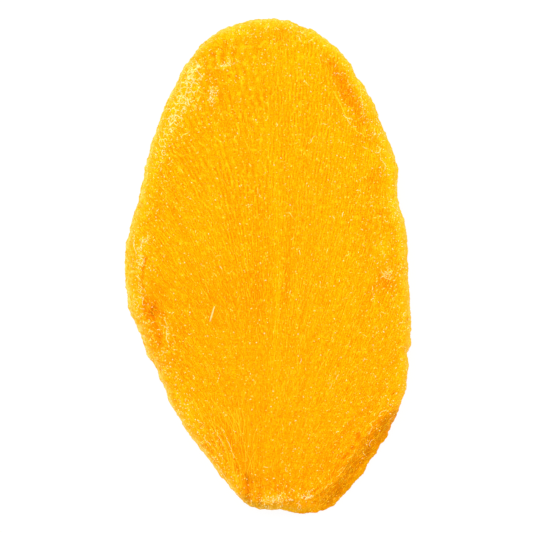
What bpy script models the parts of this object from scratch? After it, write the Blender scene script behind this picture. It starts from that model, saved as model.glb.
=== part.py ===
"""Freeze-dried mango slice: one slab cut off the cheek of a mango, lying flat on its cut underside.

Sizes are in millimetres and the finished mesh is in metres. +Y runs from the stem end to the blossom end, +X to the
right of it and +Z up. The origin is on the surface under the slice, below the middle of its length and width.
"""

import math

import bmesh
import bpy
import numpy as np
from mathutils import noise

MM = 0.001

# Whole slice
LENGTH = 110.0
WIDTH = 63.4
FACE_HEIGHT = 7.0

# The outline's flanks: height up the slice from its middle, then the reach to the left and to the right
FLANKS = (
    (52.0, 10.7, 10.2),
    (47.0, 16.5, 16.5),
    (40.0, 20.7, 21.2),
    (32.0, 24.1, 24.9),
    (21.0, 27.4, 28.5),
    (15.0, 28.8, 28.6),
    (9.0, 30.4, 30.4),
    (-1.0, 31.6, 31.1),
    (-9.0, 30.8, 31.5),
    (-15.0, 28.3, 31.7),
    (-25.0, 23.9, 30.5),
    (-33.0, 20.0, 28.6),
    (-41.0, 14.4, 24.4),
    (-48.0, 8.9, 19.3),
)
BLOSSOM_TIP = (0.2, 54.9)
STEM_CORNERS = ((-5.0, -52.6), (2.5, -53.9), (9.0, -54.9), (14.0, -53.4))

# Notches and swellings of the outline: place round the edge in degrees from +X, width in degrees, depth outwards
EDGE_MARKS = (
    (65.2, 1.8, -0.7),
    (36.3, 2.2, 0.5),
    (-4.6, 2.0, -0.6),
    (-31.8, 1.3, -0.8),
    (-41.0, 4.0, 0.4),
    (-137.6, 2.0, -0.6),
    (172.0, 3.0, 0.3),
)
SCALLOP = 0.28
SCALLOP_STEP = 3.2

# The peeled side, from its crest out to the widest line and then under to the base
SIDE_WIDTH = 2.6
# Place round the edge, width in degrees, and how much wider the side is there
SIDE_SWELLS = (
    (15.0, 28.0, -0.8),
    (60.0, 16.0, -0.5),
    (118.0, 14.0, 0.9),
    (150.0, 14.0, 0.4),
    (186.0, 11.0, 2.0),
    (-44.0, 7.0, -1.0),
    (-67.5, 14.0, 4.1),
)
# Place round the edge, width in degrees, and how far the side is a straight slope there instead of a rounded one
SIDE_STRAIGHTS = (
    (-66.0, 16.0, 1.0),
)
WIDEST_HEIGHT = 2.1
UNDERCUT = 2.3

# The rim stands over a groove that runs inside it
RIM_LIFT = 0.55
RIM_SPREAD = 1.7
GROOVE_DEPTH = 0.12
GROOVE_INSET = 3.0
GROOVE_SPREAD = 1.3
# Place round the edge, width in degrees, and how much deeper the groove is there
GROOVE_DEEPS = (
    (202.0, 9.0, 1.1),
    (216.0, 8.0, 0.3),
    (178.0, 6.0, 0.4),
    (64.0, 9.0, 0.7),
    (-58.0, 14.0, 0.9),
    (-95.0, 6.0, 0.6),
)

# Hollows and knobs of the face: middle, half length, half width, turn of the length from +Y to the left, and height
FACE_MARKS = {
    "left hollow": (-25.2, -11.0, 7.0, 1.8, -6.0, -1.1),
    "right hollow": (22.9, 18.0, 3.0, 1.8, -8.0, -1.1),
    "hollow under the knob": (25.7, -3.4, 2.6, 1.6, 20.0, -1.0),
    "right knob": (26.0, 0.6, 2.6, 2.0, 0.0, 1.0),
    "upper right groove": (15.4, 40.2, 6.4, 1.3, 22.0, -1.1),
    "upper right inner ridge": (16.2, 34.6, 5.0, 1.2, 16.0, 0.6),
    "upper right cross ridge": (20.4, 29.2, 2.8, 1.1, 65.0, 0.5),
    "lower right inner ridge": (17.4, -35.0, 6.0, 1.2, -24.0, 0.6),
    "lower right pit": (18.4, -37.4, 1.8, 1.2, -30.0, -0.9),
    "stem pit": (9.2, -49.6, 1.8, 1.3, -60.0, -0.8),
    "stem crease": (-4.3, -49.8, 3.6, 0.9, 4.0, -1.6),
    "stem crust": (3.0, -51.4, 1.6, 6.5, 8.0, 0.7),
    "top ledge": (-5.5, 51.0, 1.4, 4.2, 12.0, -0.6),
    "top right ledge": (7.2, 50.6, 1.4, 3.4, -12.0, -0.6),
    "upper left porous hollow": (-18.0, 36.5, 6.5, 2.4, -28.0, -0.25),
    "face dish": (-2.0, 4.0, 34.0, 17.0, 0.0, -0.5),
    "left of the core": (-6.5, 26.0, 14.0, 2.6, 9.0, -0.3),
    "low core": (-3.0, -6.0, 16.0, 2.4, 3.0, -0.3),
    "right of the core": (7.0, 6.0, 16.0, 2.4, -6.0, -0.3),
    "core": (2.0, 4.0, 24.0, 2.2, -2.0, 0.25),
    "right strand": (14.0, 5.0, 18.0, 2.6, -10.0, 0.3),
}
# The slab thins towards the stem and the blossom tip
STEM_THINNING = 1.6
TIP_THINNING = 0.9
END_REACH = 16.0

CRAG = 0.32
CRAG_STEP = 3.4
CRAG_REACH = 7.0

# Fibres fan out from below the stem end and leave shallow furrows
FAN_POINT = (-3.0, -74.0)
FURROW = 0.09
FURROWS_PER_RADIAN = 46.0

FACE_CELLS = 50
RIM_CROWDING = 0.34
NEAR_MIDDLE = 1e-6
SIDE_STEPS = 4
UNDER_STEPS = 3

FLESH_COLOUR = (0.95, 0.42, 0.02, 1.0)
FLESH_ROUGHNESS = 0.85


def clear_scene():
    for obj in list(bpy.data.objects):
        bpy.data.objects.remove(obj, do_unlink=True)


def edge_points():
    """The outline's points as (angle, radius) pairs in order round the middle of the slice."""
    points = [BLOSSOM_TIP, *STEM_CORNERS]
    for height, left, right in FLANKS:
        points.append((-left, height))
        points.append((right, height))
    polar = [(math.atan2(y, x), math.hypot(x, y)) for x, y in points]
    return sorted(polar)


EDGE = edge_points()


def smooth_outline(angle):
    """Radius of the cubic curve that runs through the outline's points."""
    turn = 2 * math.pi
    angles = [EDGE[-2][0] - turn, EDGE[-1][0] - turn]
    angles += [a for a, _ in EDGE]
    angles += [EDGE[0][0] + turn, EDGE[1][0] + turn]
    radii = [EDGE[-2][1], EDGE[-1][1]]
    radii += [r for _, r in EDGE]
    radii += [EDGE[0][1], EDGE[1][1]]
    i = int(np.clip(np.searchsorted(angles, angle) - 1, 1, len(angles) - 3))
    span = angles[i + 1] - angles[i]
    t = (angle - angles[i]) / span
    slope_in = (radii[i + 1] - radii[i - 1]) / (angles[i + 1] - angles[i - 1]) * span
    slope_out = (radii[i + 2] - radii[i]) / (angles[i + 2] - angles[i]) * span
    return (
        (2 * t**3 - 3 * t**2 + 1) * radii[i]
        + (t**3 - 2 * t**2 + t) * slope_in
        + (3 * t**2 - 2 * t**3) * radii[i + 1]
        + (t**3 - t**2) * slope_out
    )


def bell(x, spread):
    return math.exp(-((x / spread) ** 2))


def marks_round_edge(marks, angle):
    """Sum of the bell-shaped marks at this place round the edge."""
    degrees = math.degrees(angle)
    total = 0.0
    for place, width, height in marks:
        away = (degrees - place + 180.0) % 360.0 - 180.0
        total += height * bell(away, width)
    return total


def crags(x, y, z, step):
    return noise.fractal((x / step, y / step, z / step), 0.8, 2.0, 3)


def edge_radius(angle):
    """Outline with its notches, swellings and the small scallops between them."""
    radius = smooth_outline(angle)
    x = radius * math.cos(angle)
    y = radius * math.sin(angle)
    scallops = SCALLOP * crags(x, y, 0.0, SCALLOP_STEP)
    return radius + marks_round_edge(EDGE_MARKS, angle) + scallops


def side_width(angle):
    return SIDE_WIDTH + marks_round_edge(SIDE_SWELLS, angle)


def face_marks(x, y):
    total = 0.0
    for middle_x, middle_y, half_length, half_width, turn, height in FACE_MARKS.values():
        away = math.radians(turn)
        dx = x - middle_x
        dy = y - middle_y
        along = dy * math.cos(away) - dx * math.sin(away)
        across = dx * math.cos(away) + dy * math.sin(away)
        total += height * bell(along, half_length) * bell(across, half_width)
    return total


def top_height(x, y, angle, inset):
    """Height of the face at a point that lies this far inside the rim's crest."""
    stem = STEM_THINNING * bell(y + LENGTH / 2, END_REACH)
    tip = TIP_THINNING * bell(y - LENGTH / 2, END_REACH)
    rim = RIM_LIFT * bell(inset, RIM_SPREAD)
    groove = GROOVE_DEPTH + marks_round_edge(GROOVE_DEEPS, angle)
    groove *= bell(inset - GROOVE_INSET, GROOVE_SPREAD)
    rough = CRAG * bell(inset, CRAG_REACH) * crags(x, y, 9.0, CRAG_STEP)
    fan = math.atan2(x - FAN_POINT[0], y - FAN_POINT[1])
    furrow = FURROW * math.sin(fan * FURROWS_PER_RADIAN) * (1 - bell(inset, CRAG_REACH))
    return FACE_HEIGHT - stem - tip + rim - groove + face_marks(x, y) + rough + furrow


def direction_and_share(u, v):
    """Direction and share of the way out of a grid's point, once its nested squares are pressed into ovals."""
    share = max(abs(u), abs(v))
    if share < NEAR_MIDDLE:
        return 0.0, 0.0
    if abs(u) >= abs(v):
        turn = math.pi / 4 * v / u + (math.pi if u < 0 else 0.0)
    else:
        turn = math.copysign(math.pi / 2, v) - math.pi / 4 * u / v
    angle = math.atan2(math.sin(turn) * LENGTH, math.cos(turn) * WIDTH)
    return angle, share * (1 + RIM_CROWDING * (1 - share))


def place_face(bm):
    """Presses the flat grid into the slice's face and gives the angle of each of its edge points."""
    angles = {}
    for vert in bm.verts:
        angle, share = direction_and_share(vert.co.x, vert.co.y)
        crest = edge_radius(angle) - side_width(angle)
        x = crest * share * math.cos(angle)
        y = crest * share * math.sin(angle)
        vert.co = (x, y, top_height(x, y, angle, crest * (1 - share)))
        if vert.is_boundary:
            angles[vert] = angle
    return angles


def lower_rim(bm, angles, place):
    """Extrudes the open rim once, puts each new point where place says and gives the new points' angles."""
    rim = [edge for edge in bm.edges if edge.is_boundary]
    made = bmesh.ops.extrude_edge_only(bm, edges=rim)["geom"]
    new = [item for item in made if isinstance(item, bmesh.types.BMVert)]
    angle_at = {tuple(vert.co): angle for vert, angle in angles.items()}
    lowered = {vert: angle_at[tuple(vert.co)] for vert in new}
    for vert, angle in lowered.items():
        vert.co = place(angle)
    return lowered


def side_place(step):
    """Point of the peeled side, which rounds over or slopes straight from the crest down to the widest line."""
    share = step / SIDE_STEPS
    turn = math.pi / 2 * share

    def place(angle):
        widest = edge_radius(angle)
        width = side_width(angle)
        crest = widest - width
        crest_x = crest * math.cos(angle)
        crest_y = crest * math.sin(angle)
        top = top_height(crest_x, crest_y, angle, 0.0)
        straight = min(marks_round_edge(SIDE_STRAIGHTS, angle), 1.0)
        out = (1 - straight) * math.sin(turn) + straight * share
        drop = (1 - straight) * (1 - math.cos(turn) ** 1.2) + straight * share
        radius = widest - width * (1 - out)
        z = top - (top - WIDEST_HEIGHT) * drop
        x = radius * math.cos(angle)
        y = radius * math.sin(angle)
        radius += CRAG * out * crags(x, y, z, CRAG_STEP)
        return (radius * math.cos(angle), radius * math.sin(angle), z)

    return place


def under_place(step):
    """Point of the underside's rounded edge, from the widest line down to the flat base."""
    turn = math.pi / 2 * step / UNDER_STEPS

    def place(angle):
        radius = edge_radius(angle) - UNDERCUT * (1 - math.cos(turn))
        z = WIDEST_HEIGHT * (1 - math.sin(turn))
        if step == UNDER_STEPS:
            z = 0.0
        return (radius * math.cos(angle), radius * math.sin(angle), z)

    return place


def make_slice():
    bm = bmesh.new()
    bmesh.ops.create_grid(bm, x_segments=FACE_CELLS, y_segments=FACE_CELLS, size=1.0)
    rim = place_face(bm)
    for step in range(1, SIDE_STEPS + 1):
        rim = lower_rim(bm, rim, side_place(step))
    for step in range(1, UNDER_STEPS + 1):
        rim = lower_rim(bm, rim, under_place(step))
    base = [edge for edge in bm.edges if edge.is_boundary]
    bmesh.ops.contextual_create(bm, geom=base)
    bmesh.ops.recalc_face_normals(bm, faces=bm.faces)
    bmesh.ops.scale(bm, vec=(MM, MM, MM), verts=bm.verts)
    mesh = bpy.data.meshes.new("mango_slice")
    bm.to_mesh(mesh)
    bm.free()
    mesh.shade_smooth()
    return bpy.data.objects.new("mango_slice", mesh)


def flesh_material():
    material = bpy.data.materials.new("freeze_dried_flesh")
    material.use_nodes = True
    shader = material.node_tree.nodes["Principled BSDF"]
    shader.inputs["Base Color"].default_value = FLESH_COLOUR
    shader.inputs["Roughness"].default_value = FLESH_ROUGHNESS
    shader.inputs["Metallic"].default_value = 0.0
    return material


def main():
    clear_scene()
    collection = bpy.data.collections.new("freeze_dried_mango_slice")
    bpy.context.scene.collection.children.link(collection)
    mango_slice = make_slice()
    mango_slice.data.materials.append(flesh_material())
    collection.objects.link(mango_slice)


main()
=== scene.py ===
import math
import random

import bpy
import numpy as np
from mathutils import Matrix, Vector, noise
from mathutils.bvhtree import BVHTree


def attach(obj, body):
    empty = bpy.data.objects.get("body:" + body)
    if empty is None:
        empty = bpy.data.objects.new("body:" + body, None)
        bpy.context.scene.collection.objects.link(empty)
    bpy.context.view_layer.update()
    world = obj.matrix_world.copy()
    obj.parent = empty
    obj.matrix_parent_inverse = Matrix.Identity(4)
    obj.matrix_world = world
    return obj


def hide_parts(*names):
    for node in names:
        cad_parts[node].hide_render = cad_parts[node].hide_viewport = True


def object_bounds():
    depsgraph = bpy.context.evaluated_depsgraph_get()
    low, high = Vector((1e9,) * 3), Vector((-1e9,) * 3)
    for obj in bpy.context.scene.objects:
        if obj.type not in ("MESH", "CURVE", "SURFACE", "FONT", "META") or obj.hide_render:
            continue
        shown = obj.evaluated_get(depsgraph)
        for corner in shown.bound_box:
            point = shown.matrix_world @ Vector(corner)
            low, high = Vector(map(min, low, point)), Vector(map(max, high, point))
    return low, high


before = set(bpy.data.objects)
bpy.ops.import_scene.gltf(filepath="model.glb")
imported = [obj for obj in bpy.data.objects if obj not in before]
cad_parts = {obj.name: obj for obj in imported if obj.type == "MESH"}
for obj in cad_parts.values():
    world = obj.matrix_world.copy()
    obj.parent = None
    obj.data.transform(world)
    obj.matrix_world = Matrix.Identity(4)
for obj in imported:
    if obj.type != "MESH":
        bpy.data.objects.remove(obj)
cad_low, cad_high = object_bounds()

# The slab of flesh
# A thick slice off the cheek of a ripe mango, dried from frozen, so that it keeps its shape as dry foam.
# The knife left the face and the underside flat. The peeled side slopes, and the rim stands over a groove.
MM = 0.001
CELL = 0.30 * MM
SLAB_WELD = 0.005 * MM
SMOOTHINGS = 14
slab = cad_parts["mango_slice"]
flesh = bpy.data.objects.new("dried_flesh", slab.data.copy())
bpy.context.scene.collection.objects.link(flesh)
bpy.ops.object.select_all(action="DESELECT")
flesh.select_set(True)
bpy.context.view_layer.objects.active = flesh
bpy.ops.object.mode_set(mode="EDIT")
bpy.ops.mesh.select_all(action="SELECT")
bpy.ops.mesh.remove_doubles(threshold=SLAB_WELD)
bpy.ops.object.mode_set(mode="OBJECT")

even = flesh.modifiers.new("even cells", "REMESH")
even.mode = "VOXEL"
even.voxel_size = CELL
bpy.ops.object.modifier_apply(modifier=even.name)
rounded = flesh.modifiers.new("rounded", "SMOOTH")
rounded.factor = 0.5
rounded.iterations = SMOOTHINGS
bpy.ops.object.modifier_apply(modifier=rounded.name)


def points_of(obj):
    """The mesh's points in millimetres, as rows."""
    flat = np.empty(len(obj.data.vertices) * 3, np.float32)
    obj.data.vertices.foreach_get("co", flat)
    return flat.reshape(-1, 3).astype(float) / MM


# Which way the fibres lean off the slice's length, in degrees to the right, by height and by place across
LEAN_HEIGHTS = (-38.5, -12.0, 15.0, 41.0)
LEAN_PLACES = (-28.0, -14.0, 0.0, 14.0, 28.0)
LEANS = (
    (-40.0, -31.0, 6.0, 30.0, 38.0),
    (-41.0, -31.0, 3.0, 20.0, 23.0),
    (-42.0, -27.0, 0.0, 10.0, 11.0),
    (-25.0, -17.0, 0.0, 4.0, 8.0),
)


def fibre_slope(x, y):
    """How far a fibre runs to the right for each step up the slice."""
    across = np.array([np.interp(x, LEAN_PLACES, row) for row in LEANS])
    step = np.interp(y, LEAN_HEIGHTS, range(len(LEAN_HEIGHTS)))
    low = np.minimum(step.astype(int), len(LEAN_HEIGHTS) - 2)
    share = step - low
    column = np.arange(len(step))
    return np.tan(np.radians(across[low, column] * (1 - share) + across[low + 1, column] * share))


# Rows up and down from the middle, each with the place across the middle that its fibres come from
FAN_STEP = 0.5
FAN_WIDE = 45.0
FAN_LONG = 60.0
fan_x = np.arange(-FAN_WIDE, FAN_WIDE + FAN_STEP, FAN_STEP)
fan_up = [fan_x]
fan_down = [fan_x]
for step in range(int(FAN_LONG / FAN_STEP)):
    y = step * FAN_STEP
    for rows, sign in ((fan_up, 1), (fan_down, -1)):
        slope = fibre_slope(fan_x, np.full(len(fan_x), sign * y))
        came_from = fan_x - sign * FAN_STEP * slope
        moved = np.interp(came_from, fan_x, rows[-1]) + came_from
        rows.append(moved - np.clip(came_from, -FAN_WIDE, FAN_WIDE))
fan = np.array(fan_down[:0:-1] + fan_up)
fan_foot = -(len(fan_down) - 1) * FAN_STEP


def which_fibre(x, y):
    """The place across the slice's middle that the fibre through each point runs to."""
    row = np.clip((y - fan_foot) / FAN_STEP, 0, len(fan) - 1.001)
    column = np.clip((x + FAN_WIDE) / FAN_STEP, 0, len(fan_x) - 1.001)
    r = row.astype(int)
    c = column.astype(int)
    up = row - r
    right = column - c
    low = fan[r, c] * (1 - right) + fan[r, c + 1] * right
    high = fan[r + 1, c] * (1 - right) + fan[r + 1, c + 1] * right
    return low * (1 - up) + high * up


def unevenness(points, step, octaves=3):
    """Smooth noise of about -1 to 1 whose largest lumps are one step apart."""
    return np.array([noise.fractal(p, 1.0, 2.0, octaves) for p in (points / step).tolist()])


def smooth_step(low, high, value):
    """Rises smoothly from 0 to 1 as the value goes from low to high."""
    t = np.clip((value - low) / (high - low), 0, 1)
    return t * t * (3 - 2 * t)


# Where drying tore the skin of the flesh into lace. Each row is a patch: its middle across and along the
# slice, half its length, half its width, its turn to the left in degrees and its strength.
LACE = (
    (-19.5, 34.5, 8.0, 2.6, -24.0, 1.0),
    (-16.0, 41.5, 4.0, 2.6, -30.0, 0.9),
    (-24.5, 23.0, 6.0, 2.2, -14.0, 0.6),
    (-12.2, 37.2, 2.4, 1.1, 0.0, 0.6),
    (-9.6, 44.0, 0.9, 2.6, 0.0, 0.6),
    (27.5, 15.0, 8.0, 1.1, 9.0, 0.6),
    (22.8, 30.5, 7.0, 1.1, 25.0, 0.6),
    (-27.6, 3.0, 5.5, 2.0, -4.0, 0.7),
    (-28.2, -9.0, 6.0, 1.6, 12.0, 0.6),
    (-23.0, -20.0, 6.0, 1.6, 28.0, 0.65),
    (-5.5, 51.2, 1.6, 4.6, 0.0, 0.7),
    (7.2, 50.6, 1.4, 3.0, -8.0, 0.5),
    (20.0, 38.5, 6.0, 1.6, 30.0, 0.5),
    (26.2, -1.6, 1.5, 1.8, 0.0, 0.9),
    (25.0, 4.0, 3.0, 2.0, 0.0, 0.45),
    (-21.8, -14.0, 3.2, 0.8, 0.0, 0.7),
    (19.6, -33.2, 3.4, 1.6, -16.0, 0.3),
    (1.6, -50.9, 1.9, 5.0, 8.0, 0.75),
    (8.6, -50.4, 1.9, 3.4, 22.0, 0.75),
    (-18.5, -28.5, 6.0, 1.6, 30.0, 0.4),
    (-9.0, -46.0, 8.0, 1.6, 40.0, 0.6),
    (-17.5, -35.0, 9.0, 3.0, 34.0, 0.45),
)

# The hollows, deeper orange with painted shade and with dark spots, and then the pale papery flakes, in the
# same terms
HOLLOWS = (
    (-25.8, -9.6, 3.0, 1.3, -6.0, 0.5),
    (-24.9, -13.4, 6.5, 1.0, 21.0, 0.7),
    (-22.0, -22.4, 4.5, 1.0, 38.0, 0.4),
    (23.0, 18.0, 3.0, 1.6, -8.0, 0.7),
    (25.7, -3.6, 2.6, 1.5, 20.0, 0.9),
    (27.0, 2.0, 2.2, 1.4, 0.0, 0.5),
    (18.0, 37.0, 7.0, 1.6, 25.0, 0.5),
    (9.6, -49.6, 2.0, 1.2, -60.0, 0.9),
    (-4.3, -49.8, 3.6, 1.2, 4.0, 0.7),
    (3.0, -49.6, 1.2, 7.0, 4.0, 0.5),
)
FLAKES = (
    (-9.0, 44.2, 0.6, 2.4, 12.0, 1.0),
    (-12.2, 37.3, 2.3, 0.8, -8.0, 1.0),
    (-15.8, 34.6, 1.2, 1.8, 30.0, 0.6),
    (26.2, -1.5, 0.9, 1.6, 0.0, 0.7),
    (23.0, -5.8, 1.6, 0.7, -10.0, 0.6),
    (1.4, -51.3, 1.1, 3.4, 6.0, 0.75),
    (8.8, -50.6, 0.8, 2.0, 26.0, 0.7),
    (-26.8, 5.6, 0.7, 1.3, 20.0, 0.9),
    (-24.6, 27.6, 1.6, 0.7, -14.0, 0.5),
)

# The broad deeper and brighter parts: partly the flesh's own tone, partly painted light and shade, such as
# the lit foot of the wall at the lower right and the lit front of the stem end, in the same terms
SHADES = (
    (-1.3, -7.0, 7.5, 8.0, 0.0, -0.20),
    (-15.0, -8.0, 9.0, 5.0, 0.0, -0.15),
    (-25.0, -16.0, 6.0, 3.0, 15.0, -0.22),
    (-5.0, 11.0, 10.0, 4.0, 0.0, -0.10),
    (-12.0, 41.0, 5.0, 6.0, -30.0, -0.18),
    (8.0, 43.5, 5.0, 8.0, 0.0, 0.12),
    (15.0, -1.0, 12.0, 3.0, 0.0, 0.12),
    (-1.3, 26.0, 5.0, 4.0, 0.0, 0.12),
    (2.0, -1.0, 20.0, 0.8, 0.0, 0.25),
    (4.1, 1.0, 9.0, 0.7, -3.0, -0.22),
    (-2.4, 1.0, 10.0, 0.9, 0.0, -0.16),
    (6.0, 46.5, 5.0, 9.0, 0.0, 0.06),
    (15.0, 26.0, 8.0, 5.0, 0.0, 0.07),
    (20.4, 23.5, 6.0, 3.0, 8.0, 0.14),
    (27.2, 16.0, 5.0, 2.0, 6.0, 0.15),
    (4.5, -49.6, 1.8, 5.0, 0.0, -0.22),
    (4.0, -54.4, 0.8, 9.0, 6.0, 0.35),
    (-20.0, -17.0, 6.0, 3.0, 15.0, -0.12),
    (-8.0, -36.3, 4.0, 3.0, 35.0, -0.20),
    (27.5, -23.0, 3.0, 2.0, 0.0, 0.15),
    (-15.0, 29.5, 5.0, 3.0, -10.0, -0.12),
    (23.0, 30.3, 3.0, 2.5, 20.0, -0.16),
    (5.3, 52.0, 2.0, 3.0, 0.0, -0.16),
    (23.0, -36.0, 4.0, 1.6, -30.0, -0.14),
    (-25.7, -18.5, 3.0, 1.6, 25.0, -0.16),
    (-25.6, -6.9, 2.6, 1.4, 0.0, 0.30),
    (-25.2, -12.0, 6.0, 1.6, 14.0, 0.18),
    (3.0, -49.8, 2.5, 7.0, 6.0, 0.08),
    (-16.9, 39.5, 4.0, 3.0, -30.0, -0.10),
    (-27.0, 18.0, 4.0, 2.0, -14.0, 0.14),
    (27.0, 21.0, 3.0, 2.0, 10.0, 0.14),
    (-21.3, -27.4, 4.0, 1.8, 30.0, -0.16),
    (21.6, -44.6, 11.0, 0.9, -38.0, 0.70),
    (25.4, -3.8, 2.4, 1.3, -20.0, -0.35),
    (18.2, 37.0, 7.0, 1.6, 25.0, -0.20),
    (14.2, -40.7, 4.0, 2.0, -30.0, -0.25),
    (-11.0, -39.5, 6.0, 3.0, 35.0, -0.28),
)

# The places that no pale thread sticks to, in the same terms
BARE = (
    (24.0, -40.0, 9.0, 4.5, -34.0, 1.0),
    (17.0, -49.0, 5.0, 3.5, -50.0, 1.0),
    (4.0, -55.2, 1.2, 9.0, 6.0, 1.0),
    (14.0, -50.0, 7.0, 4.0, -60.0, 0.9),
)

# The places with painted shade, browner and duller, in the hollows and over the stem end, in the same terms
SHADE_PATCHES = (
    (3.0, -49.8, 3.6, 8.5, 6.0, 0.60),
    (-25.6, -9.8, 3.4, 1.6, -6.0, 0.70),
    (-24.8, -13.6, 6.0, 1.2, 21.0, 0.65),
    (-22.0, -22.4, 5.0, 1.1, 38.0, 0.45),
    (14.6, -41.6, 5.0, 1.6, -32.0, 0.20),
)

# Narrow pits, creases and small ridges, as lines of places, each with its half width and height
LINES = (
    (((-26.8, 1.8), (-27.0, 0.1), (-27.3, -1.4), (-27.6, -3.2), (-27.3, -4.8)), 0.32, -0.30),
    (((-27.0, -7.2), (-26.6, -8.4)), 0.7, -0.30),
    (((-24.9, -9.2), (-25.6, -10.6)), 0.6, -0.12),
    (((-23.8, -14.6), (-23.3, -15.4)), 0.6, -0.35),
    (((-26.8, -6.4), (-26.0, -9.4), (-24.6, -12.6), (-23.6, -17.0)), 0.4, -0.14),
    (((19.9, -36.8), (19.7, -37.9)), 0.45, -0.45),
    (((18.8, -39.4), (18.4, -39.9)), 0.35, -0.35),
    (((17.5, -41.2), (16.4, -42.2)), 0.40, -0.40),
    (((15.2, -43.8), (13.5, -46.6)), 0.35, -0.30),
    (((11.2, -48.6), (10.4, -49.2)), 0.35, -0.25),
    (((8.9, -50.2), (8.2, -50.7)), 0.45, -0.45),
    (((20.6, -37.0), (19.2, -39.8), (17.8, -42.0), (15.4, -45.6), (12.0, -48.8), (9.0, -50.6)), 0.50, 0.30),
    (((14.8, -40.2), (19.9, -29.2)), 1.3, -0.20),
    (((17.2, -45.2), (14.4, -47.2), (12.4, -48.7)), 0.30, 0.15),
    (((-4.9, -42.9), (-4.7, -46.2), (-4.4, -49.1), (-4.0, -51.8)), 0.30, -0.06),
    (((-6.2, -37.8), (-5.6, -41.5)), 0.26, -0.08),
    (((-7.1, -43.6), (-6.4, -45.1)), 0.26, -0.08),
    (((-2.0, -50.0), (-1.7, -51.8)), 0.35, -0.12),
    (((2.2, -48.6), (2.9, -51.0)), 0.35, -0.15),
)

# The shaded foot of the wall at the lower right, outside the ridge
WALL_LINE = (
    (27.5, -32.3),
    (24.4, -36.7),
    (22.2, -40.3),
    (19.3, -43.4),
    (17.1, -46.9),
    (15.5, -49.1),
    (13.3, -51.1),
)


def line_mark(x, y, places, half_width):
    """1 on the line of places, falling away to each side."""
    nearest = np.full(len(x), 1e9)
    for (x1, y1), (x2, y2) in zip(places, places[1:]):
        share = ((x - x1) * (x2 - x1) + (y - y1) * (y2 - y1)) / ((x2 - x1) ** 2 + (y2 - y1) ** 2)
        share = np.clip(share, 0, 1)
        nearest = np.minimum(nearest, (x - x1 - share * (x2 - x1)) ** 2 + (y - y1 - share * (y2 - y1)) ** 2)
    return np.exp(-nearest / half_width ** 2)


def marks(x, y, table):
    """The sum of the table's patches at each point. Each falls away from its middle."""
    total = np.zeros(len(x))
    for middle_x, middle_y, half_length, half_width, turn, height in table:
        away = math.radians(turn)
        dx = x - middle_x
        dy = y - middle_y
        along = dy * math.cos(away) - dx * math.sin(away)
        across = dx * math.cos(away) + dy * math.sin(away)
        total += height * np.exp(-((along / half_length) ** 2) - (across / half_width) ** 2)
    return total


points = points_of(flesh)
normals = np.empty(len(points) * 3, np.float32)
flesh.data.vertices.foreach_get("normal", normals)
normals = normals.reshape(-1, 3)
x, y, z = points.T

# How far each point is in from the edge, which is the farthest point in its direction
turns = 1440
place = ((np.arctan2(y, x) / (2 * math.pi) + 0.5) * turns).astype(int) % turns
reach = np.zeros(turns)
np.maximum.at(reach, place, np.hypot(x, y))
inset = reach[place] - np.hypot(x, y)
RIM_WIDTH = 6.0
rim = np.exp(-((inset / RIM_WIDTH) ** 2))
bare = np.clip(marks(x, y, BARE), 0, 1)
lace = np.clip(marks(x, y, LACE), 0, 1)
fibre = which_fibre(x, y)

# How far each kind of unevenness stands out, and how far apart its lumps are, in millimetres
CRUMB = 0.20
CRUMB_STEP = 2.6
NOTCH = 0.14
NOTCH_STEP = 1.0
PIT = 0.10
PIT_STEP = 1.25
RIDGE = 0.06
RIDGE_STEP = 1.3
RIDGE_LENGTH = 9.0
GRAIN = 0.06
GRAIN_STEP = 0.75
SERRATION = 0.18
SERRATION_STEP = 0.8
SERRATION_HEIGHT = 2.0
DEEPEST = 0.35
cells = np.array([noise.voronoi(p)[0][:2] for p in (points / PIT_STEP).tolist()])
wall = 1 - smooth_step(0.04, 0.30, cells[:, 1] - cells[:, 0])
ridges = unevenness(np.column_stack([fibre / RIDGE_STEP, y / RIDGE_LENGTH, z * 0]), 1.0, 3)
crumbs = unevenness(points, CRUMB_STEP)
notches = unevenness(points, NOTCH_STEP, 2)
grains = unevenness(points, GRAIN_STEP, 2)
rise = CRUMB * crumbs * (0.2 + 0.8 * rim)
rise += NOTCH * notches * rim
rise += PIT * lace * (wall - 0.3)
rise += RIDGE * ridges * (1 - rim) * (1 - lace) * (1 - 0.5 * smooth_step(5.0, 30.0, y))
rise += GRAIN * grains * (0.4 + 0.6 * rim)
# Painted shade where the relief is sunk, full at DEEPEST millimetres down
sunk_shade = np.clip(-rise / DEEPEST, 0, 1)

# The narrow lines. The finer pits and creases among them also get painted shade, darker in colour
WIDE_LINE = 1.0
pit_shade = np.zeros(len(x))
for places, half_width, height in LINES:
    mark = line_mark(x + 0.25 * crumbs, y + 0.25 * notches, places, half_width)
    rise += height * mark
    if height < 0:
        pit_shade = np.maximum(pit_shade, mark * (half_width < WIDE_LINE))

# Painted shade in uneven patches on the straight side at the lower right, and in the hollows and over the
# stem end
WALL_WIDTH = 1.9
patchy = smooth_step(0.45, -0.15, crumbs * 0.3 + grains * 0.4)
shaded = line_mark(x + 0.6 * crumbs, y, WALL_LINE, WALL_WIDTH) * patchy
shaded = np.maximum(shaded, 0.5 * smooth_step(0.35, 1.05, marks(x, y, BARE[:2]) + 0.4 * crumbs))
shaded *= smooth_step(-28.0, -33.0, y) * (0.35 + 0.65 * smooth_step(0.4, 2.6, z))
# Painted shade in the hollows and over the stem end, only where the flesh faces up
patch_shade = marks(x, y, SHADE_PATCHES) * smooth_step(-0.6, 0.5, -0.7 * crumbs - 0.5 * notches)
shaded = np.maximum(shaded, patch_shade * smooth_step(0.25, 0.65, normals[:, 2]))

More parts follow.
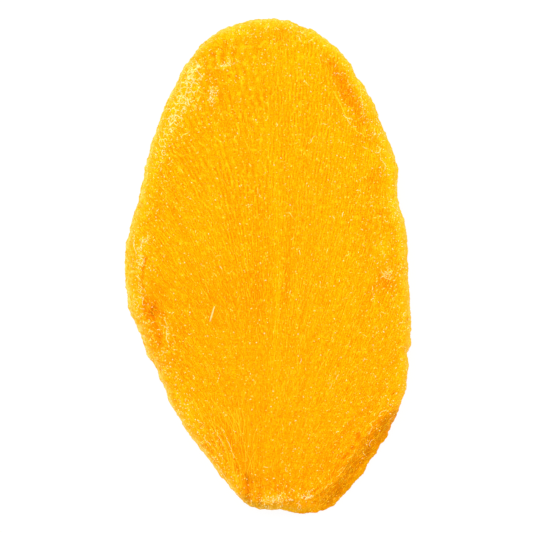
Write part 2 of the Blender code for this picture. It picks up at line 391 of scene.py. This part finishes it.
# The relief fades out at the foot, so that the slice lies flat. Only the edge's serrations run down to it.
lifted = smooth_step(0.2, 1.2, z)
points += normals * (rise * lifted)[:, None]
serration_places = np.column_stack([x / SERRATION_STEP, y / SERRATION_STEP, z / SERRATION_HEIGHT])
serration = unevenness(serration_places, 1.0, 2)
points[:, :2] += normals[:, :2] * (SERRATION * serration)[:, None]
points = np.clip(points, np.array(cad_low) / MM, np.array(cad_high) / MM)
flesh.data.vertices.foreach_set("co", (points * MM).astype(np.float32).ravel())

# Where each finish and each painted shade or glow lies, kept on the mesh for the material, with the fibres'
# own map
# Towards the edge the flesh turns golden and the outermost rim pale: partly the flesh's own colour, partly
# painted glow of light through the thin edge
EDGE_WIDTH = 2.6
OUTERMOST_WIDTH = 1.1
edge = np.exp(-((inset / EDGE_WIDTH) ** 2)) * (1 - bare)
flakes = np.clip(marks(x, y, FLAKES), 0, 1)
broad = marks(x, y, SHADES)
hollow = np.clip(marks(x, y, HOLLOWS), 0, 1)
outermost = np.exp(-((inset / OUTERMOST_WIDTH) ** 2)) * (1 - bare) * (0.45 + 0.55 * smooth_step(5, -15, x))
outermost *= 1 - 0.6 * smooth_step(-14.0, -32.0, y) * smooth_step(4.5, 2.5, z) * smooth_step(0.0, 20.0, x)
masks = {
    "sunk_shade": sunk_shade,
    "hollow": hollow,
    "lace": lace,
    "flakes": flakes,
    "edge": edge,
    "rim": rim,
    "pit_shade": pit_shade,
    "shaded": shaded,
    "outermost": outermost,
    "broad": broad,
}
for name, values in masks.items():
    attribute = flesh.data.attributes.new(name, "FLOAT", "POINT")
    attribute.data.foreach_set("value", values.astype(np.float32))
corners = np.empty(len(flesh.data.loops), np.int32)
flesh.data.loops.foreach_get("vertex_index", corners)
fibre_map = flesh.data.uv_layers.new(name="fibre")
along = np.column_stack([fibre, y])[corners]
fibre_map.data.foreach_set("uv", along.astype(np.float32).ravel())

# The flat underside needs few cells
FOOT = 0.35
THINNING = 0.95
underside = flesh.vertex_groups.new(name="underside")
flat_points = np.nonzero(points[:, 2] < FOOT)[0].tolist()
underside.add(flat_points, 1.0, "REPLACE")
thinned = flesh.modifiers.new("thinned underside", "DECIMATE")
thinned.vertex_group = underside.name
thinned.ratio = 1 - THINNING * len(flat_points) / len(points)
bpy.ops.object.modifier_apply(modifier=thinned.name)
flesh.data.shade_smooth()
flesh.data.materials.clear()

DEEP_FLESH = (0.83, 0.195, 0.0004, 1.0)
BRIGHT_FLESH = (0.88, 0.40, 0.0012, 1.0)
GOLD_FLESH = (0.89, 0.51, 0.006, 1.0)
PALE_FLESH = (0.90, 0.54, 0.016, 1.0)
PALE_CREAM = (0.91, 0.59, 0.07, 1.0)
CREAM = (0.93, 0.67, 0.26, 1.0)
# A paler rim colour, partly the flesh's own and partly painted glow of the thin edge
PALE_GLOWING_RIM = (0.93, 0.60, 0.12, 1.0)
# Colours of painted shade: on the shaded side, in the hollows, over the stem end and in the pits
SHADED_SIDE = (0.59, 0.165, 0.0008, 1.0)
PIT_SHADE = (0.70, 0.185, 0.0005, 1.0)
PAPERY = (0.93, 0.66, 0.30, 1.0)


def new_material(name, roughness):
    """A matt material without gloss, and its shader."""
    material = bpy.data.materials.new(name)
    material.use_nodes = True
    shader = material.node_tree.nodes["Principled BSDF"]
    shader.inputs["Roughness"].default_value = roughness
    shader.inputs["Specular IOR Level"].default_value = 0.0
    return material, shader


def add_node(material, kind, **values):
    """A new node of this kind, its properties and its sockets set by name."""
    node = material.node_tree.nodes.new(kind)
    for name, value in values.items():
        if hasattr(node, name):
            setattr(node, name, value)
        else:
            node.inputs[name.replace("_", " ")].default_value = value
    return node


def link(material, start, end):
    material.node_tree.links.new(start, end)


def speckle(material, vector, step, detail=2.0, stretch=(1.0, 1.0, 1.0), rough=0.6):
    """Noise of 0 to 1 whose lumps are one step apart, in millimetres."""
    mapping = add_node(material, "ShaderNodeMapping", Scale=stretch)
    link(material, vector, mapping.inputs["Vector"])
    texture = add_node(material, "ShaderNodeTexNoise", Scale=1 / step, Detail=detail, Roughness=rough)
    link(material, mapping.outputs["Vector"], texture.inputs["Vector"])
    return texture.outputs["Fac"]


def calculate(material, operation, first, second, third=0.0):
    """One step of arithmetic on numbers and sockets."""
    node = add_node(material, "ShaderNodeMath", operation=operation)
    for socket, value in zip(node.inputs, (first, second, third)):
        if isinstance(value, (int, float)):
            socket.default_value = value
        else:
            link(material, value, socket)
    return node.outputs["Value"]


def blend_colours(material, share, first, second):
    """The first colour with this share of the second in it."""
    node = add_node(material, "ShaderNodeMix", data_type="RGBA")
    for socket, value in ((node.inputs[0], share), (node.inputs[6], first), (node.inputs[7], second)):
        if isinstance(value, tuple):
            socket.default_value = value
        else:
            link(material, value, socket)
    return node.outputs[2]


def ramp(material, value, low, high):
    """Rises smoothly from 0 to 1 as the value goes from low to high."""
    node = add_node(material, "ShaderNodeMapRange", From_Min=low, From_Max=high)
    node.interpolation_type = "SMOOTHSTEP"
    link(material, value, node.inputs["Value"])
    return node.outputs["Result"]


def swing(material, value, amount, total):
    """Adds the value, which varies about a half, to the total."""
    centred = calculate(material, "SUBTRACT", value, 0.5)
    return calculate(material, "MULTIPLY_ADD", centred, amount, total)


# The patterns, some by place in millimetres and some along the fibres
ROUGHNESS = 0.85
dry_flesh, shader = new_material("dry_flesh", ROUGHNESS)
coordinates = add_node(dry_flesh, "ShaderNodeTexCoord")
in_mm = add_node(dry_flesh, "ShaderNodeMapping", Scale=(1 / MM, 1 / MM, 1 / MM))
link(dry_flesh, coordinates.outputs["Object"], in_mm.inputs["Vector"])
spot = in_mm.outputs["Vector"]
strand = add_node(dry_flesh, "ShaderNodeUVMap", uv_map="fibre").outputs["UV"]
streaks = speckle(dry_flesh, strand, 2.0, 1.0, (1.0, 0.12, 1.0))
drawn_out = add_node(dry_flesh, "ShaderNodeMapping", Scale=(1.0, 0.5, 1.0))
link(dry_flesh, strand, drawn_out.inputs["Vector"])
fine_fibres = add_node(
    dry_flesh, "ShaderNodeTexGabor", Scale=1 / 1.2, Frequency=2.35, Anisotropy=1.0, Orientation=0.0
)
link(dry_flesh, drawn_out.outputs["Vector"], fine_fibres.inputs["Vector"])
fine = speckle(dry_flesh, spot, 0.28, 0.0)
dashes = speckle(dry_flesh, strand, 0.34, 0.0, (1.0, 0.30, 1.0))
blotches = speckle(dry_flesh, strand, 5.0, 2.0, (1.0, 0.25, 1.0))
specks = speckle(dry_flesh, spot, 0.34, 0.0)
patches = speckle(dry_flesh, spot, 1.0, 3.0)
mask = {}
for name in masks:
    mask[name] = add_node(dry_flesh, "ShaderNodeAttribute", attribute_name=name).outputs["Fac"]

# The tone, from deep to bright orange: streaked by the fibres, with painted shade where the relief is sunk,
# and evened out at the edge and in the lace; at the edge this is partly paler flesh, partly painted glow
tone = swing(dry_flesh, streaks, 0.55, 0.46)
tone = swing(dry_flesh, fine_fibres.outputs["Value"], 1.12, tone)
tone = swing(dry_flesh, fine, 1.3, tone)
colour_tone = swing(dry_flesh, blotches, 0.14, tone)
colour_tone = calculate(dry_flesh, "MULTIPLY_ADD", mask["sunk_shade"], -0.3, colour_tone)
evened = calculate(dry_flesh, "MAXIMUM", mask["lace"], mask["edge"])
evened = calculate(dry_flesh, "MULTIPLY", evened, 0.62)
evening = calculate(dry_flesh, "SUBTRACT", 0.95, colour_tone)
evening = calculate(dry_flesh, "MULTIPLY", evening, evened)
colour_tone = calculate(dry_flesh, "ADD", colour_tone, evening)
# Broad parts, partly the flesh's own tone, partly painted light and shade
colour_tone = calculate(dry_flesh, "ADD", colour_tone, mask["broad"])
# Painted shade in the hollows and in the pits
colour_tone = calculate(dry_flesh, "MULTIPLY_ADD", mask["hollow"], -0.10, colour_tone)
colour_tone = calculate(dry_flesh, "MULTIPLY_ADD", mask["pit_shade"], -0.15, colour_tone)
colour = blend_colours(dry_flesh, colour_tone, DEEP_FLESH, BRIGHT_FLESH)

# More golden in the lace and at the edge, which is partly paler flesh and partly painted glow. Browner with
# painted shade on the shaded side, in the hollows and over the stem end, and darker with painted shade in the
# pits, and darker at dark spots in the hollows
lace_gold = calculate(dry_flesh, "MULTIPLY", mask["lace"], 0.2)
gold_and_glow = calculate(dry_flesh, "MULTIPLY_ADD", mask["edge"], 0.28, lace_gold)
gold_and_glow = calculate(dry_flesh, "MULTIPLY", gold_and_glow, ramp(dry_flesh, colour_tone, 0.2, 0.8))
colour = blend_colours(dry_flesh, gold_and_glow, colour, GOLD_FLESH)
dark_spots = calculate(dry_flesh, "SUBTRACT", 1.0, ramp(dry_flesh, specks, 0.42, 0.52))
dark_spots = calculate(dry_flesh, "MULTIPLY", dark_spots, mask["hollow"])
shade_share = calculate(dry_flesh, "MULTIPLY", mask["shaded"], 0.9)
colour = blend_colours(dry_flesh, shade_share, colour, SHADED_SIDE)
darkened = calculate(dry_flesh, "MAXIMUM", mask["pit_shade"], dark_spots)
darkened = calculate(dry_flesh, "MULTIPLY", darkened, 0.8)
colour = blend_colours(dry_flesh, darkened, colour, PIT_SHADE)

# Golden dashes along the fibres and pale specks
dashed = calculate(dry_flesh, "MULTIPLY", ramp(dry_flesh, dashes, 0.60, 0.72), 0.5)
colour = blend_colours(dry_flesh, dashed, colour, GOLD_FLESH)
sprinkled = calculate(dry_flesh, "MULTIPLY_ADD", mask["rim"], 0.015, specks)
sprinkled = calculate(dry_flesh, "MULTIPLY", ramp(dry_flesh, sprinkled, 0.735, 0.82), 0.9)
colour = blend_colours(dry_flesh, sprinkled, colour, PALE_CREAM)

# The net of pale cell walls in the lace, the torn edges of the papery flakes and the outermost rim, paler:
# partly paler flesh, partly painted glow of light through the thin edge
warp = add_node(dry_flesh, "ShaderNodeTexNoise", Scale=0.9, Detail=2.0)
link(dry_flesh, spot, warp.inputs["Vector"])
warped = add_node(dry_flesh, "ShaderNodeVectorMath", operation="ADD")
link(dry_flesh, spot, warped.inputs[0])
link(dry_flesh, warp.outputs["Color"], warped.inputs[1])
walls = add_node(dry_flesh, "ShaderNodeTexVoronoi", feature="DISTANCE_TO_EDGE", Scale=1 / 1.4)
link(dry_flesh, warped.outputs["Vector"], walls.inputs["Vector"])
lines = calculate(dry_flesh, "SUBTRACT", 1.0, ramp(dry_flesh, walls.outputs["Distance"], 0.028, 0.064))
laced = calculate(dry_flesh, "MULTIPLY_ADD", mask["lace"], 0.5, patches)
lines = calculate(dry_flesh, "MULTIPLY", lines, ramp(dry_flesh, laced, 0.86, 0.94))
lines = calculate(dry_flesh, "MULTIPLY", lines, 0.9)
colour = blend_colours(dry_flesh, lines, colour, CREAM)
shreds = speckle(dry_flesh, spot, 0.55, 1.0)
torn = calculate(dry_flesh, "SUBTRACT", shreds, 0.5)
torn = calculate(dry_flesh, "ABSOLUTE", torn, 0.0)
torn = calculate(dry_flesh, "SUBTRACT", 1.0, ramp(dry_flesh, torn, 0.02, 0.06))
papery = calculate(dry_flesh, "MULTIPLY", torn, ramp(dry_flesh, mask["flakes"], 0.45, 0.8))
papery = calculate(dry_flesh, "MULTIPLY", papery, 0.9)
colour = blend_colours(dry_flesh, papery, colour, PAPERY)
outer_share = calculate(dry_flesh, "MULTIPLY", mask["outermost"], ramp(dry_flesh, patches, 0.35, 0.60))
colour = blend_colours(dry_flesh, outer_share, colour, PALE_GLOWING_RIM)
link(dry_flesh, colour, shader.inputs["Base Color"])
bump = add_node(dry_flesh, "ShaderNodeBump", Strength=0.8, Distance=0.10 * MM)
link(dry_flesh, tone, bump.inputs["Height"])
link(dry_flesh, bump.outputs["Normal"], shader.inputs["Normal"])
flesh.data.materials.append(dry_flesh)
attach(flesh, "root")
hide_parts("mango_slice")

# The fibres that lie in the face
# Tough strands fan out through the flesh from the stem end. Drying shrank the soft flesh between them, so
# they stand half out of the cut face as short fine threads, some deeper orange and some paler.
surface = BVHTree.FromObject(flesh, bpy.context.evaluated_depsgraph_get())
ABOVE_ALL = 20 * MM
HEADROOM = 0.16 * MM


def height_at(x, y):
    """Height of the flesh at this place, in millimetres, or None beside it."""
    hit = surface.ray_cast((x * MM, y * MM, ABOVE_ALL), (0, 0, -1))[0]
    return min(hit.z, cad_high[2] - HEADROOM) / MM if hit else None


def inset_at(x, y):
    """How far this place is in from the slice's edge, towards its middle."""
    place = int((math.atan2(y, x) / (2 * math.pi) + 0.5) * turns) % turns
    return reach[place] - math.hypot(x, y)


# The lean of the fibres and the strength of the patches over the whole slice, to look up thread by thread
FIELD_STEP = 0.25
FIELD_X = 35.0
FIELD_Y = 58.0
field_columns = np.arange(-FIELD_X, FIELD_X, FIELD_STEP)
field_rows = np.arange(-FIELD_Y, FIELD_Y, FIELD_STEP)
field_x, field_y = np.meshgrid(field_columns, field_rows)
field_size = field_x.shape
field_x = field_x.ravel()
field_y = field_y.ravel()
leans = np.arctan(fibre_slope(field_x, field_y)).reshape(field_size)
lace_here = marks(field_x, field_y, LACE).reshape(field_size)
flakes_here = marks(field_x, field_y, FLAKES).reshape(field_size)
bare_here = marks(field_x, field_y, BARE).reshape(field_size)


def at(field, x, y):
    """The field's value at this place."""
    return float(field[int((y + FIELD_Y) / FIELD_STEP), int((x + FIELD_X) / FIELD_STEP)])


THREAD_SIDES = 4
THREAD_WELD = 0.001 * MM


def thread_object(name, threads, paleness, thickness):
    """One mesh of tubes. Each thread is a list of (x, y, z, width) in millimetres and has its paleness."""
    curve = bpy.data.curves.new(name, "CURVE")
    curve.dimensions = "3D"
    curve.bevel_depth = thickness / 2 * MM
    curve.bevel_resolution = 0
    curve.use_fill_caps = True
    for thread in threads:
        spline = curve.splines.new("POLY")
        spline.points.add(len(thread) - 1)
        for point, (x, y, z, width) in zip(spline.points, thread):
            point.co = (x * MM, y * MM, z * MM, 1.0)
            point.radius = width
    obj = bpy.data.objects.new(name, curve)
    bpy.context.scene.collection.objects.link(obj)
    bpy.ops.object.select_all(action="DESELECT")
    obj.select_set(True)
    bpy.context.view_layer.objects.active = obj
    bpy.ops.object.convert(target="MESH")
    obj = bpy.context.view_layer.objects.active
    # The points of the end caps come first, from the last thread to the first, and then those of the sides
    ends = np.repeat(paleness[::-1], 2 * THREAD_SIDES)
    sides = np.repeat(paleness, [THREAD_SIDES * len(thread) for thread in threads])
    attribute = obj.data.attributes.new("paleness", "FLOAT", "POINT")
    attribute.data.foreach_set("value", np.concatenate((ends, sides)).astype(np.float32))
    bpy.ops.object.mode_set(mode="EDIT")
    bpy.ops.mesh.select_all(action="SELECT")
    bpy.ops.mesh.remove_doubles(threshold=THREAD_WELD)
    bpy.ops.object.mode_set(mode="OBJECT")
    obj.data.shade_smooth()
    return obj


draw = random.Random(7)
LOWEST_THREAD = 1.5


def draped(x, y, heading, bend, kink, length, steps, lift, follow):
    """A thread laid on the flesh from x, y, which bends by degrees a millimetre and may follow the fibres."""
    thread = []
    for step in range(steps):
        height = height_at(x, y)
        if height is None or height < LOWEST_THREAD:
            return None
        share = step / (steps - 1)
        width = math.sin(math.pi * (0.10 + 0.80 * share)) ** 0.6
        thread.append((x, y, height + lift, width))
        angle = heading + (at(leans, x, y) if follow else 0)
        x += length / (steps - 1) * math.sin(angle)
        y += length / (steps - 1) * math.cos(angle)
        heading += math.radians(bend) * length / (steps - 1) + draw.gauss(0, kink)
    return thread


STRANDS = 8000
STRAND_WIDTH = 0.17
strands = []
shades = []
while len(strands) < STRANDS:
    x = draw.uniform(-31, 32)
    y = draw.uniform(-54, 54)
    inset = inset_at(x, y)
    if inset < 1.0 or draw.random() < 0.8 * at(lace_here, x, y):
        continue
    loose = 0.10 + 0.5 * math.exp(-((inset / 5) ** 2))
    length = min(3.6, 0.7 + draw.expovariate(1.0))
    lift = draw.uniform(-0.08, 0.01)
    thread = draped(x, y, draw.gauss(0, loose), draw.gauss(0, 4), 0.05, length, 3, lift, True)
    if thread:
        strands.append(thread)
        shades.append(min(1.0, draw.betavariate(1.6, 2.2) + 0.4 * math.exp(-((inset / 4.5) ** 2))))

# The long strands at the stem end
LONG_STRANDS = 60
while len(strands) < STRANDS + LONG_STRANDS:
    x = draw.uniform(-15, -3)
    y = draw.uniform(-51, -34)
    if inset_at(x, y) < 1.5:
        continue
    thread = draped(x, y, draw.gauss(0, 0.12), draw.gauss(0, 3), 0.05, draw.uniform(4, 9), 7, 0.0, True)
    if thread:
        strands.append(thread)
        shades.append(draw.uniform(0.45, 0.85))
fibres = thread_object("surface_fibres", strands, shades, STRAND_WIDTH)

fibre_skin, shader = new_material("fibre_skin", ROUGHNESS)
paleness = add_node(fibre_skin, "ShaderNodeAttribute", attribute_name="paleness").outputs["Fac"]
warm = calculate(fibre_skin, "MULTIPLY_ADD", paleness, 1.2, 0.4)
cool = calculate(fibre_skin, "MULTIPLY_ADD", paleness, 2.0, -1.0)
colour = blend_colours(fibre_skin, warm, DEEP_FLESH, BRIGHT_FLESH)
colour = blend_colours(fibre_skin, cool, colour, PALE_FLESH)
link(fibre_skin, colour, shader.inputs["Base Color"])
fibres.data.materials.append(fibre_skin)
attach(fibres, "root")

# The pale threads and crumbs
# Torn walls of dried cells cling to the slice as fine curled threads, small rings and crumbs, thickest along
# the rim at the upper left, on the left, on the knob at the right and at the stem end.
CURLS = 620
RINGS = 5
CRUMBS = 1500
CURL_WIDTH = 0.16
ANYWHERE = 0.022
curls = []
shades = []

# The threads that stand out, as lines of places, each with its paleness
CLEAR_THREADS = (
    (((-29.2, 6.8), (-29.3, 4.7), (-28.5, 2.6)), 0.9),
    (((-27.1, 5.9), (-27.9, 4.3), (-28.6, 3.7)), 0.9),
    (((-28.5, 2.6), (-27.6, 1.9), (-27.0, 0.9), (-27.8, 0.2), (-28.6, 0.8)), 0.8),
    (((-28.9, 1.2), (-28.0, 0.6), (-27.2, -0.2)), 0.6),
    (((-28.2, 1.6), (-27.1, 1.7), (-26.7, 0.6)), 0.6),
    (((-28.9, -0.1), (-28.1, -0.5), (-27.4, -0.3)), 0.6),
    (((-28.2, -3.8), (-27.4, -4.9), (-28.1, -5.8), (-27.2, -6.2)), 0.7),
    (((-28.4, -6.6), (-27.3, -7.0), (-27.6, -8.2), (-26.7, -8.6)), 0.8),
    (((-29.6, -7.8), (-29.0, -9.2)), 0.6),
    (((-22.6, -11.6), (-21.9, -13.4), (-22.4, -15.2), (-21.6, -17.2)), 0.7),
    (((-22.9, -13.0), (-21.4, -13.8)), 0.6),
    (((-10.2, -35.2), (-8.6, -38.7), (-7.3, -42.3)), 0.6),
    (((-11.4, -36.0), (-9.6, -39.6)), 0.4),
    (((-14.0, -37.4), (-12.0, -39.8), (-10.2, -41.8)), 0.7),
    (((-15.6, -38.0), (-13.6, -40.6)), 0.4),
    (((-11.3, -43.4), (-9.3, -46.5), (-7.3, -49.6)), 0.6),
    (((17.1, -43.6), (16.0, -45.3), (14.8, -46.3)), 0.2),
    (((14.2, -47.3), (13.3, -47.7), (12.0, -48.9)), 0.2),
    (((19.2, -40.0), (18.3, -41.5), (17.1, -42.5)), 0.1),
    (((16.3, -44.0), (15.0, -45.2)), 0.1),
    (((21.8, -36.6), (22.8, -35.4), (22.4, -34.2), (23.6, -33.4)), 0.3),
    (((24.2, -32.4), (25.4, -31.4), (26.6, -31.2)), 0.4),
    (((24.8, -1.0), (25.5, -2.2), (26.6, -2.9), (27.4, -2.0)), 0.5),
    (((25.3, -2.2), (26.2, -2.8), (27.0, -1.3), (27.5, -0.9)), 0.4),
    (((24.6, -2.6), (25.6, -1.5), (26.4, -0.6)), 0.5),
    (((22.8, -4.6), (22.9, -5.6)), 0.4),
    (((14.4, 38.3), (15.8, 35.4), (17.3, 32.3)), 0.0),
    (((16.6, 33.0), (17.3, 32.3), (18.2, 30.7)), 0.8),
    (((18.2, 32.4), (17.3, 32.2)), 0.7),
    (((18.2, 30.7), (19.8, 29.3), (21.7, 28.2)), 0.0),
    (((20.0, 39.6), (20.8, 34.7)), 0.2),
    (((23.6, 26.8), (24.4, 25.8), (24.8, 23.0)), 0.1),
    (((24.6, 23.6), (25.7, 22.0), (25.2, 20.4)), 0.6),
)

# The round pores by the edge at the upper left, as middle and size
PORES = ((-16.2, 44.6, 1.6), (-17.0, 42.2, 1.9), (-19.3, 37.4, 1.8), (-23.2, 27.0, 1.7))


PLACE_SPREAD = 0.09
PATH_STEP = 0.35
SINK = 0.01


def laid(path):
    """A thread that lies on the flesh along the path, a little unevenly."""
    thread = []
    for x, y in path:
        x += draw.gauss(0, PLACE_SPREAD)
        y += draw.gauss(0, PLACE_SPREAD)
        height = height_at(x, y)
        if height is not None:
            thread.append((x, y, height - SINK, draw.uniform(0.7, 1.0)))
    return thread


for places, shade in CLEAR_THREADS:
    path = []
    for (x1, y1), (x2, y2) in zip(places, places[1:]):
        steps = max(2, round(math.hypot(x2 - x1, y2 - y1) / PATH_STEP))
        path += [(x1 + (x2 - x1) * step / steps, y1 + (y2 - y1) * step / steps) for step in range(steps)]
    curls.append(laid(path))
    shades.append(shade)
for x, y, size in PORES:
    turns_round = [math.pi * step / 6 for step in range(13)]
    ring = [(x + 0.42 * size * math.cos(turn), y + 0.5 * size * math.sin(turn)) for turn in turns_round]
    curls.append(laid(ring))
    shades.append(0.5)
PLACED = len(curls)


def sticks_at(x, y, base):
    """Whether a thread clings to this place. With a base of 0 it does only in the lace and the flakes."""
    inset = inset_at(x, y)
    if inset < 0.2:
        return False
    share = base + 0.3 * at(lace_here, x, y) + 0.8 * at(flakes_here, x, y)
    if base:
        share += 0.22 * math.exp(-inset / 5.0)
    return draw.random() < share * (1 - at(bare_here, x, y))


while len(curls) < PLACED + CURLS:
    x = draw.uniform(-32, 32)
    y = draw.uniform(-55, 55)
    if not sticks_at(x, y, ANYWHERE):
        continue
    length = min(2.4, 0.4 + draw.expovariate(2.2))
    heading = draw.uniform(-3.1, 3.1)
    bend = draw.gauss(0, 40)
    lift = draw.uniform(-0.06, -0.01)
    thread = draped(x, y, heading, bend, 0.45, length, 7, lift, False)
    if thread:
        curls.append(thread)
        shades.append(draw.betavariate(1.2, 1.8))
while len(curls) < PLACED + CURLS + RINGS:
    x = draw.uniform(-32, 32)
    y = draw.uniform(-55, 55)
    if not sticks_at(x, y, 0):
        continue
    size = draw.uniform(0.8, 1.4)
    length = math.pi * size
    thread = draped(x, y, draw.uniform(-3.1, 3.1), 360 / length, 0.3, length, 10, -0.03, False)
    if thread:
        curls.append([(x, y, z, 0.9) for x, y, z, width in thread])
        shades.append(draw.uniform(0.3, 0.9))
while len(curls) < PLACED + CURLS + RINGS + CRUMBS:
    x = draw.uniform(-32, 32)
    y = draw.uniform(-55, 55)
    if not sticks_at(x, y, ANYWHERE):
        continue
    length = draw.uniform(0.15, 0.4)
    thread = draped(x, y, draw.uniform(-3.1, 3.1), 0, 0, length, 2, draw.uniform(-0.06, 0.03), False)
    if thread:
        curls.append([(x, y, z, draw.uniform(0.9, 1.6)) for x, y, z, width in thread])
        shades.append(draw.betavariate(1.0, 1.3))
lace_threads = thread_object("pale_threads", curls, shades, CURL_WIDTH)

THREAD_YELLOW = (0.94, 0.62, 0.030, 1.0)
THREAD_CREAM = (0.95, 0.73, 0.34, 1.0)
pale_skin, shader = new_material("pale_skin", ROUGHNESS)
paleness = add_node(pale_skin, "ShaderNodeAttribute", attribute_name="paleness").outputs["Fac"]
colour = blend_colours(pale_skin, paleness, THREAD_YELLOW, THREAD_CREAM)
link(pale_skin, colour, shader.inputs["Base Color"])
lace_threads.data.materials.append(pale_skin)
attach(lace_threads, "root")

# The loose rod
# One straight pale splinter of fibre that broke off and lies on the face, left of the middle.
ROD_ENDS = ((-12.7, -12.0), (-11.7, -8.7))
ROD_WIDTH = 0.36
ROD_COLOUR = (0.98, 0.62, 0.20, 1.0)
rod_path = []
for share in (0.0, 0.3, 0.7, 1.0):
    x = ROD_ENDS[0][0] * (1 - share) + ROD_ENDS[1][0] * share
    y = ROD_ENDS[0][1] * (1 - share) + ROD_ENDS[1][1] * share
    rod_path.append((x, y, height_at(x, y) + 0.03, 0.7 + 0.3 * math.sin(math.pi * share)))
rod = thread_object("loose_rod", [rod_path], [1.0], ROD_WIDTH)
rod_skin, shader = new_material("rod_skin", ROUGHNESS)
shader.inputs["Base Color"].default_value = ROD_COLOUR
rod.data.materials.append(rod_skin)
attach(rod, "root")

# The floor, the light and the camera
# A white table under even light from all round, with soft lamps that are strongest beyond the blossom end
# and on the right, and weaker on the left and at the stem end.
bpy.ops.object.select_all(action="DESELECT")
bpy.ops.mesh.primitive_plane_add(size=2.0, location=(0, 0, 0))
floor = bpy.context.view_layer.objects.active
floor.name = "pale_table"
white, shader = new_material("pale_table", 0.9)
shader.inputs["Base Color"].default_value = (0.08, 0.08, 0.08, 1.0)
shader.inputs["Emission Color"].default_value = (1.0, 1.0, 1.0, 1.0)
shader.inputs["Emission Strength"].default_value = 0.92
floor.data.materials.append(white)

world = bpy.data.worlds.new("soft_surround")
bpy.context.scene.world = world
world.use_nodes = True
world.node_tree.nodes["Background"].inputs["Color"].default_value = (1.0, 1.0, 1.0, 1.0)
world.node_tree.nodes["Background"].inputs["Strength"].default_value = 0.50

# The camera looks straight down. The picture is FRAME_WIDTH wide at the height of the slice's outline.
OUTLINE_HEIGHT = 2.1 * MM
FRAME_WIDTH = 118.2 * MM
LENS = 100.0
camera = bpy.data.objects.new("camera", bpy.data.cameras.new("camera"))
bpy.context.scene.collection.objects.link(camera)
camera.data.lens = LENS
camera.data.clip_start = 0.01
camera.location = (-0.33 * MM, 0, OUTLINE_HEIGHT + FRAME_WIDTH * LENS / camera.data.sensor_width)
camera.rotation_euler = (0, 0, 0)
bpy.context.scene.camera = camera


def soft_light(name, azimuth, elevation, power, size):
    """A square lamp turned to the slice. Azimuth 0 is at the stem end and 90 on the right."""
    lamp = bpy.data.objects.new(name, bpy.data.lights.new(name, "AREA"))
    bpy.context.scene.collection.objects.link(lamp)
    a = math.radians(azimuth)
    e = math.radians(elevation)
    away = 0.8
    lamp.location = (away * math.sin(a) * math.cos(e), -away * math.cos(a) * math.cos(e), away * math.sin(e))
    lamp.rotation_euler = (math.pi / 2 - e, 0, a)
    lamp.data.energy = power
    lamp.data.size = size


soft_light("top_window", 205.0, 45.0, 4.4, 0.6)
soft_light("left_window", 265.0, 35.0, 2.4, 0.5)
soft_light("right_window", 112.0, 32.0, 4.7, 0.5)
soft_light("stem_window", 345.0, 30.0, 1.9, 0.5)
bpy.context.scene.view_settings.view_transform = "Standard"
